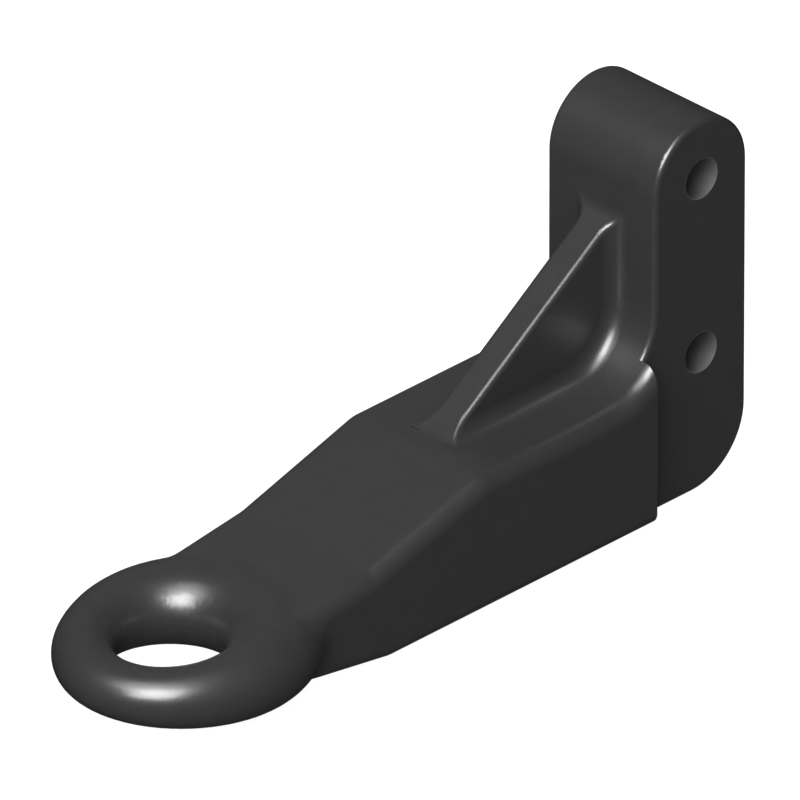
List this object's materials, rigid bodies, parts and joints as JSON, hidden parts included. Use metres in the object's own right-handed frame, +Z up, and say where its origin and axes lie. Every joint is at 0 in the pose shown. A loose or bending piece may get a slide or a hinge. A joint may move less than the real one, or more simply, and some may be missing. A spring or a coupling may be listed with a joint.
{
  "type": "drawbar eye",
  "caption": "Forged towing eye: a thick ring on an angled arm that rises to an upright cross-bolted head, with a centre rib in the corner.",
  "frame": {"origin": "centre of the ring's hole", "axes": "+X forward from the mounting head to the ring, +Y across, along the bolts, +Z up, along the towing pin"},
  "size_m": [0.3872, 0.1172, 0.1911],
  "materials": {
    "painted_steel": "satin black paint over forged steel"
  },
  "bodies": {
    "root": {"drawbar_eye": "painted_steel"}
  },
  "joints": []
}
